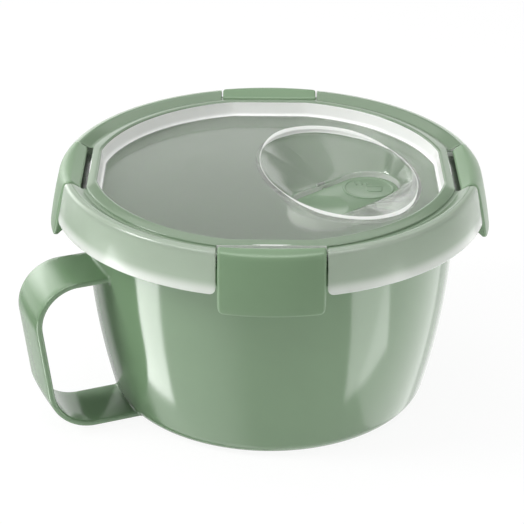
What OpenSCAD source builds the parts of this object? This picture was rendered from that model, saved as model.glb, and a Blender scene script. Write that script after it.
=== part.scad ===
// Soup mug: a round bowl with a strap handle, a clear lid with four clips and a steam vent.
// The origin is the middle of the base, +Z is up and the handle points along +X.

/* [Bowl] */
// Outer radius of the wall at its top
wall_top_r = 70.4; // [66:0.2:76]
// Height at which the bowed wall stands upright
wall_bow_h = 76; // [66:1:80]
// Radius of the wall's gentle bow, seen from the side
wall_bow_r = 280; // [180:5:500]
// Rounding between the base and the wall
toe_r = 7.5; // [4:0.5:14]
// Rounding inside, between the floor and the wall
inner_toe_r = 6; // [3:0.5:12]
// Thickness of the wall
wall_t = 2; // [1.4:0.1:3]
// Thickness of the floor
floor_t = 2.6; // [1.6:0.1:5]
// Height of the rim above the table
rim_h = 84.5; // [82:0.5:110]
// Thickness of the rim's flange and of the lip that hangs from it
lip_t = 2; // [1.4:0.1:2.6]
// How far the lip hangs down from the rim
lip_drop = 5.1; // [4:0.1:6]

/* [Handle] */
// Width of the strap
strap_w = 24.6; // [16:0.2:34]
// Thickness of the strap
strap_t = 2.6; // [2:0.1:5]
// How far the strap stands out from the wall's top radius
strap_reach = 27.8; // [22:0.2:36]
// How far the strap's top lies below the rim
strap_drop = 21.1; // [16:0.1:26]
// Gap between the strap and the table
strap_foot_gap = 1; // [0.5:0.1:4]
// Outer radius of the strap's upper corner
strap_upper_r = 17; // [10:0.5:20]
// Outer radius of the strap's lower corner
strap_lower_r = 18.5; // [12:0.5:22]
// How far the lower corner's centre lies inside the upper one's
strap_lean = 5; // [0:0.5:8]

/* [Lid] */
// Angle from the handle to the first clip
lid_turn = -22.5; // [-45:0.5:45]
// Gap between the lid's plug and the mouth of the bowl
plug_gap = 0.6; // [0.3:0.1:1.2]
// Thickness of the plug's upright wall
plug_t = 1.4; // [1:0.1:2]
// Thickness of the window
window_t = 1.5; // [1:0.1:2.4]
// Depth of the window below the ring round it
recess_depth = 6.3; // [4:0.1:7]
// How far the four flats cut into the round window
flat_cut = 1.6; // [0.8:0.1:2.4]
// Width of the ring round the window
ring_w = 4.9; // [3.5:0.1:5.4]
// Width of the ring at its flats
ring_flat_w = 3.7; // [3:0.1:4.4]
// Height of the ring's inner border above the lid's underside
ring_h = 5.9; // [5:0.1:7]
// How much the ring falls towards its outside
ring_fall = 1.1; // [0.4:0.1:1.6]
// Depth of the valley between the ring and the shoulder, below the ring's outside
valley_depth = 0.3; // [0.1:0.05:0.8]
// Height of the shoulder above the lid's underside
shoulder_h = 6.2; // [5.6:0.1:7]
// Rounding of the shoulder
shoulder_r = 3.6; // [2.6:0.1:4.4]
// Thickness of the skirt
skirt_t = 1.5; // [1:0.1:1.8]
// How far the skirt's lower edge lies below the lid's underside
skirt_drop = 9.5; // [7:0.1:11]
// How far the skirt's lower edge lies outside the shoulder's centre
skirt_flare = 6; // [5.2:0.1:7]
// Gap between the skirt and the lip of the bowl
skirt_gap = 0.7; // [0.4:0.1:1]
// Thickness of the ledge that is left below each clip's notch
ledge_t = 1.2; // [0.8:0.1:1.6]

/* [Seal] */
// Thickness of the sealing ring below the notches
seal_t = 2; // [1.2:0.1:3]
// Width of the sealing ring below the notches
seal_w = 6.2; // [3:0.1:7]
// How far the sealing ring lies outside the bowl's mouth
seal_set = 0.8; // [0.2:0.1:1.4]
// Gap between the sealing ring and the rim
seal_gap = 0.3; // [0.1:0.05:0.5]
// Wall left between a notch and the channel that the sealing ring fills between the clips
channel_end_t = 3; // [2.4:0.1:4]

/* [Clips] */
// Width of a clip
clip_w = 38; // [24:0.1:44]
// Thickness of a clip's flap
clip_t = 2.2; // [2:0.1:2.6]
// How far a clip stands proud of the skirt
clip_proud = 0.6; // [0.4:0.1:1]
// How far a clip reaches below the skirt
clip_drop = 6.4; // [5.8:0.1:8]
// Rounding of a clip's lower corners
clip_corner_r = 2; // [1:0.1:4]
// Gap between a clip and the sides of its notch
notch_gap = 0.5; // [0.3:0.1:1]
// Slot between the ring and a clip's knuckle
notch_slot = 2.3; // [1.8:0.1:3]
// Outer radius of a clip's knuckle
knuckle_r = 1.8; // [1.6:0.05:2.1]
// Gap between the knuckle and the ledge below it
knuckle_gap = 0.4; // [0.3:0.05:0.8]
// Radius of the hinge bar in each notch
bar_r = 0.9; // [0.7:0.05:1.1]
// How far the hook at the foot of a clip reaches in behind the lip
hook_reach = 2.6; // [1.6:0.1:3]
// Height of the hook at its tip
hook_tip_h = 1.2; // [0.8:0.1:2]
// Gap between the hook's swing and the lip
hook_gap = 0.45; // [0.35:0.05:0.8]

/* [Vent] */
// Distance of the vent well's middle from the lid's axis
well_off = 27.5; // [25:0.5:30]
// Direction of the vent well's middle, from the first clip
well_az = 199; // [190:1:206]
// Half the length of the well's oval mouth
well_half_l = 43; // [40:0.5:44]
// Half the width of the well's oval mouth
well_half_w = 28; // [26:0.5:29]
// Direction of the oval's long axis, from the first clip
well_axis_az = 108.5; // [100:0.5:116]
// Height of the upright step round the well's mouth
well_step_h = 1.2; // [0.6:0.1:1.6]
// Depth of the pocket's edge below the window
well_slope_h = 7.4; // [6.4:0.1:8]
// Thickness of the well's walls
well_t = 1.4; // [1:0.1:2]
// Distance of the rocker's disc from the lid's axis
disc_off = 40.1; // [39:0.1:41]
// Direction of the rocker's disc, from the first clip
disc_az = 197.6; // [196:0.2:199]
// Direction of the rocker's length, from the first clip
rocker_az = 43; // [40:0.5:46]
// Distance between the rocker's disc and its finger dish
rocker_l = 24.8; // [22:0.2:26]
// Radius of the rocker's round ends
rocker_r = 11.6; // [10:0.1:12]
// Thickness of the rocker
rocker_t = 1.8; // [1.4:0.1:2.4]
// Gap between the rocker and the pocket round it
rocker_gap = 0.6; // [0.4:0.1:1]
// How far the rocker's top lies below the pocket's edge
rocker_sink = 1.6; // [1.5:0.1:3]
// Depth of the pocket below the rocker
rocker_travel = 2.6; // [2.6:0.1:4]
// Radius of the raised disc on the rocker
disc_r = 10; // [8:0.1:10.6]
// Height of the raised disc
disc_h = 0.5; // [0.3:0.05:1]
// Radius of the hollow of the finger dish, a part of a ball
dish_ball_r = 60; // [50:1:90]
// Depth of the finger dish
dish_depth = 0.8; // [0.4:0.05:0.9]
// Radius of the rocker's two pivot pins
pin_r = 0.8; // [0.6:0.05:0.85]
// Length of a pivot pin
pin_l = 1.7; // [1.4:0.1:2]
// Radius of the steam hole
steam_r = 4.2; // [3.8:0.1:5]
// Radius of the vent seal's flange
vent_seal_r = 7.5; // [6:0.1:8.5]
// Radius of the vent seal's plug
vent_plug_r = 3; // [2.4:0.1:3.2]
// How far the plug reaches into the steam hole
vent_plug_l = 1.2; // [0.6:0.1:1.6]

/* [Hidden] */
$fn = 96;

sage = "#8ca489";
clear = "#dfe6dd";
seal_green = "#7d9679";
arc_steps = 10;
bow_steps = 16;
oval_steps = 60;
pocket_steps = 48;
clips = 4;

// Running clearance round a hinge bar or a pivot pin
pin_play = 0.06;
// Overrun of every cut
over = 1;
// Bevel on the rim's edges
rim_bevel = 0.6;
// How deep a hinge bar is set into the sides of its notch
bar_set = 1.4;
// Solid left outside the hinge bars
bar_backing = 4;
// How far a notch's ledge ends short of that solid
ledge_set = 0.4;
// Distance from a hinge bar to the middle of the shoulder's rounding
shoulder_set = 3.4;
// Bevel at the foot of the skirt
skirt_bevel = 0.4;
// Bevel at the foot of a clip
clip_bevel = 0.9;
// Thickness of the boss round a pivot pin
boss_t = 1.4;
// Thickness left at the end of a pivot pin's bore
boss_end_t = 0.9;
// Thickness of the slice that the well's slope runs down to
slice_t = 0.4;

// Bowl: the wall is an arc that meets the toe's arc without a corner
wall_axis_r = wall_top_r - wall_bow_r;
mouth_r = wall_top_r - wall_t;
function arc(c, r, a0, a1, steps) =
  [for (i = [0:steps]) let (a = a0 + (a1 - a0) * i / steps) c + r * [cos(a), sin(a)]];
function toe_centre(bow, toe, foot) =
  [wall_axis_r + sqrt(pow(bow - toe, 2) - pow(wall_bow_h - foot - toe, 2)), foot + toe];
function toe_angle(bow, toe, foot) =
  let (c = toe_centre(bow, toe, foot)) atan2(c[1] - wall_bow_h, c[0] - wall_axis_r);
function bowl_side(bow, toe, foot) = let (turn = toe_angle(bow, toe, foot)) concat(
  [[0, foot]],
  arc(toe_centre(bow, toe, foot), toe, -90, turn, arc_steps),
  arc([wall_axis_r, wall_bow_h], bow, turn, 0, bow_steps)
);

// Lid heights and radii, built up from the rim and the mouth
lid_under_h = rim_h + seal_gap + seal_t;
plug_r = mouth_r - plug_gap;
window_r = plug_r - plug_t;
window_flat = window_r - flat_cut;
ring_r = window_r + ring_w;
ring_top_h = lid_under_h + ring_h;
window_h = ring_top_h - recess_depth;
notch_x = window_flat + ring_flat_w;
notch_floor_h = lid_under_h + ledge_t;
hinge = [notch_x + notch_slot + knuckle_r, notch_floor_h + knuckle_gap + knuckle_r];
block_r = hinge[0] + bar_backing;
shoulder_c = [hinge[0] + shoulder_set, lid_under_h + shoulder_h - shoulder_r];
skirt_low = [shoulder_c[0] + skirt_flare, lid_under_h - skirt_drop];

// The skirt is the straight line that leaves the shoulder's rounding and ends at the lower edge
skirt_run = skirt_low - shoulder_c;
skirt_face = atan2(skirt_run[1], skirt_run[0]) + acos(shoulder_r / norm(skirt_run));
function skirt_at(h, inset) =
  [shoulder_c[0] + (shoulder_r - inset - (h - shoulder_c[1]) * sin(skirt_face)) / cos(skirt_face), h];

// The channel's roof meets the inside of the skirt where the shoulder's rounding ends
channel_h = shoulder_c[1] + (shoulder_r - skirt_t) * sin(skirt_face);

// The lip's foot and the hook's top lie on two rings round the hinge, so that the clip can swing
lip_inset = skirt_t + skirt_gap;
lip_corner = skirt_at(rim_h - lip_drop, lip_inset);
lip_swing = norm(lip_corner - hinge);
function below_hinge(r, swing) = [r, hinge[1] - sqrt(pow(swing, 2) - pow(r - hinge[0], 2))];
lip_inner = below_hinge(lip_corner[0] - lip_t, lip_swing);
flange_under_h = rim_h - lip_t;

module bowl_outside() {
  rotate_extrude() polygon(concat(
    bowl_side(wall_bow_r, toe_r, 0),
    [
      [wall_top_r, flange_under_h],
      [skirt_at(flange_under_h, lip_inset + lip_t)[0], flange_under_h],
      lip_inner,
      lip_corner,
      skirt_at(rim_h - rim_bevel, lip_inset),
      [skirt_at(rim_h, lip_inset)[0] - rim_bevel, rim_h],
      [0, rim_h]
    ]
  ));
}

module bowl_inside() {
  rotate_extrude() polygon(concat(
    bowl_side(wall_bow_r - wall_t, inner_toe_r, floor_t),
    [
      [mouth_r, rim_h - rim_bevel],
      [mouth_r + rim_bevel, rim_h],
      [mouth_r + rim_bevel, rim_h + over],
      [0, rim_h + over]
    ]
  ));
}

// Handle: one strap bent round two corners, its ends rooted in the wall
strap_root = toe_centre(wall_bow_r, toe_r, 0)[0];
strap_upper_c = [
  wall_top_r + strap_reach - strap_upper_r,
  rim_h - strap_drop - strap_upper_r
];
strap_lower_c = [strap_upper_c[0] - strap_lean, strap_foot_gap + strap_lower_r];
strap_line = strap_lower_c - strap_upper_c;
strap_side = atan2(strap_line[1], strap_line[0]) + acos((strap_upper_r - strap_lower_r) / norm(strap_line));
function strap_loop(inset, root) = concat(
  [[root, strap_upper_c[1] + strap_upper_r - inset]],
  arc(strap_upper_c, strap_upper_r - inset, 90, strap_side, arc_steps),
  arc(strap_lower_c, strap_lower_r - inset, strap_side, -90, arc_steps),
  [[root, strap_foot_gap + inset]]
);

module strap() {
  translate([0, strap_w / 2, 0]) rotate([90, 0, 0]) linear_extrude(strap_w) difference() {
    polygon(strap_loop(0, strap_root));
    polygon(strap_loop(strap_t, strap_root - over));
  }
}

module mug_body() {
  color(sage) difference() {
    union() {
      bowl_outside();
      strap();
    }
    bowl_inside();
  }
}

// Lid
module at_clips() {
  for (i = [0:clips - 1]) rotate([0, 0, i * 360 / clips]) children();
}

module between_clips(end_t) {
  half_w = clip_w / 2 + notch_gap + end_t;
  foot_h = skirt_low[1] - over;
  difference() {
    children();
    at_clips() translate([0, -half_w, foot_h]) cube([skirt_low[0] + over, 2 * half_w, ring_top_h - foot_h]);
  }
}

module lid_section() {
  foot_in = skirt_at(skirt_low[1], skirt_t);
  polygon(concat(
    [
      [0, window_h - window_t],
      [plug_r, window_h - window_t],
      [plug_r, lid_under_h],
      [block_r, lid_under_h],
      [block_r, channel_h],
      skirt_at(channel_h, skirt_t),
      skirt_at(skirt_low[1] + skirt_bevel, skirt_t),
      foot_in + [skirt_bevel, 0],
      skirt_low - [skirt_bevel, 0],
      skirt_at(skirt_low[1] + skirt_bevel, 0)
    ],
    arc(shoulder_c, shoulder_r, skirt_face, 90, arc_steps),
    [
      [hinge[0], ring_top_h - ring_fall - valley_depth],
      [ring_r, ring_top_h - ring_fall],
      [window_r, ring_top_h],
      [0, ring_top_h]
    ]
  ));
}

module channel() {
  foot_h = lid_under_h - over;
  width = block_r + ledge_set - plug_r;
  between_clips(channel_end_t)
    rotate_extrude() translate([plug_r, foot_h]) square([width, channel_h - foot_h]);
}

module window_outline() {
  intersection() {
    circle(window_r);
    square(2 * window_flat, center = true);
  }
}

module notch() {
  half_w = clip_w / 2 + notch_gap;
  reach = skirt_low[0] + over;
  above = shoulder_h + over;
  through_h = skirt_drop + above;
  translate([notch_x, -half_w, notch_floor_h]) cube([reach - notch_x, 2 * half_w, above]);
  difference() {
    translate([notch_x, -half_w, skirt_low[1] - over]) cube([reach - notch_x, 2 * half_w, through_h]);
    translate([0, 0, skirt_low[1] - 2 * over]) cylinder(r = block_r - ledge_set, h = through_h + 2 * over);
  }
}

module hinge_bar() {
  half_l = clip_w / 2 + notch_gap + bar_set;
  translate([hinge[0], half_l, hinge[1]]) rotate([90, 0, 0]) cylinder(r = bar_r, h = 2 * half_l);
}

// Vent: an oval well that slopes down to a long pocket with round ends
well_c = well_off * [cos(well_az), sin(well_az)];
disc_c = disc_off * [cos(disc_az), sin(disc_az)];
rocker_dir = [cos(rocker_az), sin(rocker_az)];
dish_c = disc_c + rocker_l * rocker_dir;
pivot_c = (disc_c + dish_c) / 2;
pocket_r = rocker_r + rocker_gap;
step_foot_h = window_h - well_step_h;
pocket_edge_h = window_h - well_slope_h;
rocker_top_h = pocket_edge_h - rocker_sink;
pocket_floor_h = rocker_top_h - rocker_t - rocker_travel;
pivot_h = rocker_top_h - rocker_t / 2;
pin_end = rocker_r + pin_l;
bore_end = pin_end + rocker_gap;

module oval(grow) {
  translate(well_c) rotate(well_axis_az) polygon([
    for (i = [0:oval_steps - 1]) let (a = 360 * i / oval_steps)
      [(well_half_l + grow) * cos(a), (well_half_w + grow) * sin(a)]
  ]);
}

module long_round(r) {
  translate(disc_c) circle(r);
  translate(dish_c) circle(r);
  translate(disc_c) rotate(rocker_az) translate([0, -r]) square([rocker_l, 2 * r]);
}

module well_slope(grow, top_h, step_h, foot_h) {
  hull() {
    translate([0, 0, step_h]) linear_extrude(top_h - step_h) oval(grow);
    translate([0, 0, foot_h]) linear_extrude(slice_t) {
      translate(disc_c) circle(pocket_r + grow, $fn = pocket_steps);
      translate(dish_c) circle(pocket_r + grow, $fn = pocket_steps);
    }
  }
}

module pocket_column(r, from_h, to_h) {
  translate([0, 0, from_h]) linear_extrude(to_h - from_h) long_round(r);
}

module across_pivot(r, half_l) {
  translate([pivot_c[0], pivot_c[1], pivot_h]) rotate([90, 0, rocker_az])
    cylinder(r = r, h = 2 * half_l, center = true);
}

module lid_shell() {
  color(clear, 0.4) rotate([0, 0, lid_turn]) difference() {
    union() {
      difference() {
        rotate_extrude() lid_section();
        translate([0, 0, window_h]) linear_extrude(recess_depth + over) window_outline();
        at_clips() notch();
        channel();
      }
      at_clips() hinge_bar();
      well_slope(well_t, window_h, step_foot_h - well_t, pocket_edge_h - well_t);
      pocket_column(pocket_r + well_t, pocket_floor_h - well_t, pocket_edge_h);
      across_pivot(pin_r + boss_t, bore_end + boss_end_t);
    }
    well_slope(0, window_h + slice_t, step_foot_h, pocket_edge_h);
    pocket_column(pocket_r, pocket_floor_h, pocket_edge_h + slice_t);
    across_pivot(pin_r + pin_play, bore_end);
    translate([disc_c[0], disc_c[1], pocket_floor_h - well_t - over])
      cylinder(r = steam_r, h = well_t + 2 * over);
  }
}

// The sealing ring lies flat below the notches and fills the channel between them
module lid_seal() {
  low_h = rim_h + seal_gap;
  inset = skirt_t + seal_gap;
  color(seal_green) rotate([0, 0, lid_turn]) {
    rotate_extrude() translate([mouth_r + seal_set, low_h]) square([seal_w, seal_t]);
    between_clips(channel_end_t + seal_gap) rotate_extrude() polygon([
      [plug_r + seal_gap, low_h],
      skirt_at(low_h, inset),
      skirt_at(channel_h, inset),
      [plug_r + seal_gap, channel_h]
    ]);
  }
}

// Clips: a knuckle on the hinge bar, a top, a flap that follows the skirt, and a hook below the lip
clip_low_h = skirt_low[1] - clip_drop;
clip_in = clip_t - clip_proud;
clip_crown_h = shoulder_c[1] + shoulder_r + clip_proud;
hook_swing = lip_swing + hook_gap;
hook_root = below_hinge(skirt_at(lip_corner[1], clip_in)[0], hook_swing);
hook_top = below_hinge(lip_corner[0] - hook_reach, hook_swing);

module clip_section() {
  under_r = shoulder_r - clip_in;
  inside_r = hinge[0] - bar_backing;
  polygon(concat(
    [
      [inside_r, clip_crown_h + over],
      [shoulder_c[0], clip_crown_h + over]
    ],
    arc(shoulder_c, shoulder_r + clip_proud, 90, skirt_face, arc_steps),
    [
      skirt_at(clip_low_h + clip_bevel, -clip_proud),
      skirt_at(clip_low_h, -clip_proud) - [clip_bevel, 0],
      skirt_at(clip_low_h, clip_in) + [clip_bevel / 2, 0],
      hook_top - [0, hook_tip_h],
      hook_top,
      hook_root
    ],
    arc(shoulder_c, under_r, skirt_face, 90, arc_steps),
    [[inside_r, shoulder_c[1] + under_r]]
  ));
}

// The top's upper side leaves the knuckle without a corner and rises to the crown
crown_r = shoulder_r + clip_proud;
crown_run = shoulder_c - hinge;
crown_turn = atan2(crown_run[1], crown_run[0]) + acos((knuckle_r - crown_r) / norm(crown_run));

module clip_side() {
  outer_x = skirt_low[0] + 2 * clip_proud + over;
  polygon(concat(
    [hinge, hinge + knuckle_r * [cos(crown_turn), sin(crown_turn)]],
    arc(shoulder_c, crown_r, crown_turn, 90, arc_steps),
    [[outer_x, clip_crown_h], [outer_x, clip_low_h - over], [hinge[0], clip_low_h - over]]
  ));
}

module clip_front_outline() {
  half_w = clip_w / 2;
  corner = half_w - clip_corner_r;
  polygon(concat(
    arc([-corner, clip_low_h + clip_corner_r], clip_corner_r, 180, 270, arc_steps),
    arc([corner, clip_low_h + clip_corner_r], clip_corner_r, 270, 360, arc_steps),
    [[half_w, clip_crown_h + over], [-half_w, clip_crown_h + over]]
  ));
}

module clip(place) {
  half_w = clip_w / 2;
  color(sage) rotate([0, 0, lid_turn + place * 360 / clips]) difference() {
    union() {
      intersection() {
        rotate_extrude() clip_section();
        translate([0, half_w, 0]) rotate([90, 0, 0]) linear_extrude(clip_w) clip_side();
        rotate([90, 0, 90]) linear_extrude(skirt_low[0] + 2 * clip_proud + over) clip_front_outline();
      }
      translate([hinge[0], half_w, hinge[1]]) rotate([90, 0, 0]) cylinder(r = knuckle_r, h = clip_w);
    }
    translate([hinge[0], half_w + over, hinge[1]]) rotate([90, 0, 0])
      cylinder(r = bar_r + pin_play, h = clip_w + 2 * over);
  }
}

module vent_rocker() {
  dish_edge_r = sqrt(pow(dish_ball_r, 2) - pow(dish_ball_r - dish_depth, 2));
  color(sage) rotate([0, 0, lid_turn]) difference() {
    union() {
      pocket_column(rocker_r, rocker_top_h - rocker_t, rocker_top_h);
      translate([disc_c[0], disc_c[1], rocker_top_h - rocker_t]) cylinder(r = disc_r, h = rocker_t + disc_h);
      across_pivot(pin_r, pin_end);
    }
    translate([dish_c[0], dish_c[1], rocker_top_h - dish_depth]) rotate_extrude() polygon(concat(
      arc([0, dish_ball_r], dish_ball_r, -90, -90 + asin(dish_edge_r / dish_ball_r), arc_steps),
      [[dish_edge_r, dish_depth + over], [0, dish_depth + over]]
    ));
  }
}

module vent_seal() {
  flange_foot_h = pocket_floor_h + seal_gap;
  flange_top_h = rocker_top_h - rocker_t;
  color(seal_green) rotate([0, 0, lid_turn]) translate([disc_c[0], disc_c[1], 0]) {
    translate([0, 0, flange_foot_h]) cylinder(r = vent_seal_r, h = flange_top_h - flange_foot_h);
    translate([0, 0, flange_foot_h - vent_plug_l]) cylinder(r = vent_plug_r, h = vent_plug_l);
  }
}

mug_body();
lid_shell();
lid_seal();
clip(0);  // clip_left
clip(1);  // clip_front
clip(2);  // clip_right
clip(3);  // clip_back
vent_rocker();
vent_seal();
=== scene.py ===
import math

import bmesh
import bpy
import numpy as np
from mathutils import Matrix, Quaternion, Vector


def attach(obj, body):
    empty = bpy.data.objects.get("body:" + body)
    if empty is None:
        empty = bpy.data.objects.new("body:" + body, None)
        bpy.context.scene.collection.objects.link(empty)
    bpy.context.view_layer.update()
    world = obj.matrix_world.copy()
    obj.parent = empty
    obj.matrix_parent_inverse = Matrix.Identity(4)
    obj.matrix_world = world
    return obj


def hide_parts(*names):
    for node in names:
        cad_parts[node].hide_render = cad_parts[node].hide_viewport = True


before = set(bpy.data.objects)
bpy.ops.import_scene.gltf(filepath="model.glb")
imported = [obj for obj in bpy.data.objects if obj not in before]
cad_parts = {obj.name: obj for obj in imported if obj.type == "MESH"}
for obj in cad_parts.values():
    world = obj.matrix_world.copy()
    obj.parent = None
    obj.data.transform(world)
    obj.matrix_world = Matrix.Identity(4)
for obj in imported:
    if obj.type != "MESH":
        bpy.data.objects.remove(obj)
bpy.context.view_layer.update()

# The bowl and its handle: one moulding in glossy sage-green polypropylene.
# The wall bows gently out to a rim with a hanging lip; the handle is a bent strap
# that runs into the wall above and below with a small fillet, with no seam or screw.
MM, TINY = 0.001, 1e-9
BOWL_TURNS, TOE_STEPS, WALL_STEPS, POLE_R = 192, 14, 28, 4.0
WALL_R, WALL_T, BOW_R, BOW_H = 70.4, 2.0, 280.0, 76.0
TOE_R, INNER_TOE_R, FLOOR_T, RIM_H = 7.5, 6.0, 2.6, 84.5
LIP_T, LIP_DROP, LIP_INSET, LIP_SLANT = 2.0, 5.1, 2.2, 0.1
RIM_FILLETS = (0.8, 0.6, 0.6, 0.8, 1.4, 0.9)
SHOULDER, SHOULDER_R = np.array([76.0, 89.4]), 3.6
SKIRT_LOW = np.array([82.0, 77.3])
STRAP_W, STRAP_T, STRAP_CROWN, STRAP_EDGE_R = 24.6, 2.6, 0.4, 0.9
STRAP_TOP, STRAP_FOOT, FOOT_CLEAR = 63.4, 1.0, 0.5
UPPER_C, UPPER_R, UPPER_RUN = np.array([81.2, 46.4]), 17.0, (74.5, 78.0)
LOWER_C, LOWER_R, LOWER_RUN = np.array([76.2, 19.5]), 18.5, (71.0, 66.5)
ROOT_FILLET, ROOT_DEPTH, ROOT_STEPS, BEND_STEPS = 1.3, 1.0, 6, 28
SAGE = (0.192, 0.302, 0.176, 1.0)
# A corner's half angle is held between two limits, and a fillet takes at most a share of a side
LEAST_HALF, MOST_HALF, SIDE_LIMIT = 0.02, math.pi / 2 - 0.002, 0.48
CREASE = math.radians(32.0)


def heading(angle):
    """Unit vector at an angle in degrees."""
    return np.array([math.cos(math.radians(angle)), math.sin(math.radians(angle))])


def rounded(corners, radii, steps=6, closed=False):
    """Points on a line through these corners, each corner rounded by its own radius."""
    corners = [np.asarray(corner, float) for corner in corners]
    line = []
    for i, (corner, radius) in enumerate(zip(corners, radii)):
        at_end = not closed and i in (0, len(corners) - 1)
        if radius == 0 or at_end:
            line.append(corner)
            continue
        back, ahead = corners[i - 1] - corner, corners[(i + 1) % len(corners)] - corner
        back_l = np.linalg.norm(back, axis=-1, keepdims=True)
        ahead_l = np.linalg.norm(ahead, axis=-1, keepdims=True)
        back, ahead = back / back_l, ahead / ahead_l
        half = np.arccos(np.clip((back * ahead).sum(-1, keepdims=True), -1, 1)) / 2
        half = np.clip(half, LEAST_HALF, MOST_HALF)
        reach = np.minimum(radius / np.tan(half), SIDE_LIMIT * np.minimum(back_l, ahead_l))
        middle = back + ahead
        middle = middle / np.maximum(np.linalg.norm(middle, axis=-1, keepdims=True), TINY)
        centre = corner + middle * reach / np.cos(half)
        start, end = corner + back * reach - centre, corner + ahead * reach - centre
        turn = math.pi - 2 * half
        for step in range(steps + 1):
            share = step / steps
            arm = np.sin((1 - share) * turn) * start + np.sin(share * turn) * end
            line.append(centre + arm / np.sin(turn))
    return line


def rise_at(distance, radius):
    """How much a rounded corner has risen at this distance from the end."""
    left = max(radius - distance, 0.0)
    return radius - math.sqrt(radius ** 2 - left ** 2)


def outward(loop):
    """Unit vectors square to a closed line at its points, away from what it encloses."""
    following = np.roll(loop, -1, axis=0)
    ahead = following - np.roll(loop, 1, axis=0)
    out = np.stack([ahead[:, 1], -ahead[:, 0]], axis=1)
    out /= np.maximum(np.linalg.norm(out, axis=1, keepdims=True), TINY)
    area = (loop[:, 0] * following[:, 1] - following[:, 0] * loop[:, 1]).sum()
    return math.copysign(1, area) * out


def arc(centre, radius, start, end, steps):
    return [np.asarray(centre) + radius * heading(a) for a in np.linspace(start, end, steps + 1)]


def tangent_face(start, end, drop):
    """Angle that the line touching two circles faces; the second is smaller by the drop."""
    run = end - start
    return math.degrees(math.atan2(run[1], run[0]) + math.acos(drop / np.linalg.norm(run)))


def skin(rings, joined=False):
    """Points and faces of a closed skin over rings of equal count, its ends capped or joined."""
    rings = np.asarray(rings, float)
    rows, count = rings.shape[:2]
    faces = []
    for row in range(rows if joined else rows - 1):
        a, b = row * count, (row + 1) % rows * count
        for k in range(count):
            n = (k + 1) % count
            faces.append((a + k, a + n, b + n, b + k))
    if not joined:
        faces.append(tuple(reversed(range(count))))
        faces.append(tuple(range((rows - 1) * count, rows * count)))
    return rings.reshape(-1, 3), faces


def turned(profile, turns=BOWL_TURNS, centre=(0, 0), joined=False):
    """A skin turned on an upright axis from points of radius and height."""
    angles = np.linspace(0, 2 * math.pi, turns, endpoint=False)
    rings = []
    for r, h in profile:
        x, y = centre[0] + r * np.cos(angles), centre[1] + r * np.sin(angles)
        rings.append(np.stack([x, y, np.full(turns, h)], axis=1))
    return skin(rings, joined)


def new_piece(name, skins, turn=0.0):
    """A mesh object from one or more skins given in millimetres, turned about the bowl's axis."""
    mesh = bpy.data.meshes.new(name)
    points, faces = [], []
    c, s = heading(turn)
    for skin_points, skin_faces in skins:
        first = len(points)
        for x, y, z in skin_points:
            points.append((MM * (c * x - s * y), MM * (s * x + c * y), MM * z))
        faces += [tuple(first + i for i in face) for face in skin_faces]
    mesh.from_pydata(points, [], faces)
    work = bmesh.new()
    work.from_mesh(mesh)
    bmesh.ops.recalc_face_normals(work, faces=work.faces)
    work.to_mesh(mesh)
    work.free()
    piece = bpy.data.objects.new(name, mesh)
    bpy.context.scene.collection.objects.link(piece)
    return piece


def fuse(piece, tool, operation="UNION"):
    """Joins or cuts a piece with another mesh, which is used up."""
    step = piece.modifiers.new("fuse", "BOOLEAN")
    step.object, step.operation, step.solver = tool, operation, "MANIFOLD"
    bpy.context.view_layer.update()
    shaped = piece.evaluated_get(bpy.context.evaluated_depsgraph_get())
    mesh = bpy.data.meshes.new_from_object(shaped)
    piece.modifiers.clear()
    old, piece.data = piece.data, mesh
    mesh.name = piece.name
    bpy.data.meshes.remove(old)
    tool_mesh = tool.data
    bpy.data.objects.remove(tool)
    bpy.data.meshes.remove(tool_mesh)


def dress(piece, *materials):
    """Gives a piece its materials and smooth shading between creases."""
    piece.data.materials.clear()
    for material in materials:
        piece.data.materials.append(material)
    piece.data.shade_smooth()
    piece.data.set_sharp_from_angle(angle=CREASE)


SKIRT_FACE = tangent_face(SHOULDER, SKIRT_LOW, SHOULDER_R)


def skirt_at(h, inset):
    """Radius and height of a point on the lid's skirt, which the lip follows, or inside it."""
    out = heading(SKIRT_FACE)
    across = SHOULDER_R - inset - (h - SHOULDER[1]) * out[1]
    return np.array([SHOULDER[0] + across / out[0], h])


def wall_side(bow, toe, foot):
    """The toe's arc and the wall's arc, from the base up."""
    axis, toe_h = WALL_R - BOW_R, foot + toe
    toe_c = np.array([axis + math.sqrt((bow - toe) ** 2 - (BOW_H - toe_h) ** 2), toe_h])
    lean = math.degrees(math.atan2(toe_c[1] - BOW_H, toe_c[0] - axis))
    wall = arc((axis, BOW_H), bow, lean, 0, WALL_STEPS)
    return arc(toe_c, toe, -90, lean, TOE_STEPS) + wall[1:]


outside = wall_side(BOW_R, TOE_R, 0)
inside = wall_side(BOW_R - WALL_T, INNER_TOE_R, FLOOR_T)
under_rim, lip_h = RIM_H - LIP_T, RIM_H - LIP_DROP
lip_out = skirt_at(lip_h, LIP_INSET)
rim_corners = [
    outside[-1],
    (WALL_R, under_rim),
    skirt_at(under_rim, LIP_INSET + LIP_T),
    (lip_out[0] - LIP_T, lip_h + LIP_SLANT),
    lip_out,
    skirt_at(RIM_H, LIP_INSET),
    (WALL_R - WALL_T, RIM_H),
    inside[-1],
]
rim = rounded(rim_corners, [0, *RIM_FILLETS, 0])
bowl_profile = [(POLE_R, 0.0)] + outside + rim[1:-1] + inside[::-1] + [(POLE_R, FLOOR_T)]
bowl = new_piece("bowl_moulding", [turned(bowl_profile)])

wall_line = np.array(outside)


def wall_x(y, h):
    """Where the wall's outside stands, at this height and distance from the handle's middle."""
    r = np.interp(h, wall_line[:, 1], wall_line[:, 0])
    return np.sqrt(r * r - y * y)


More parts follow.
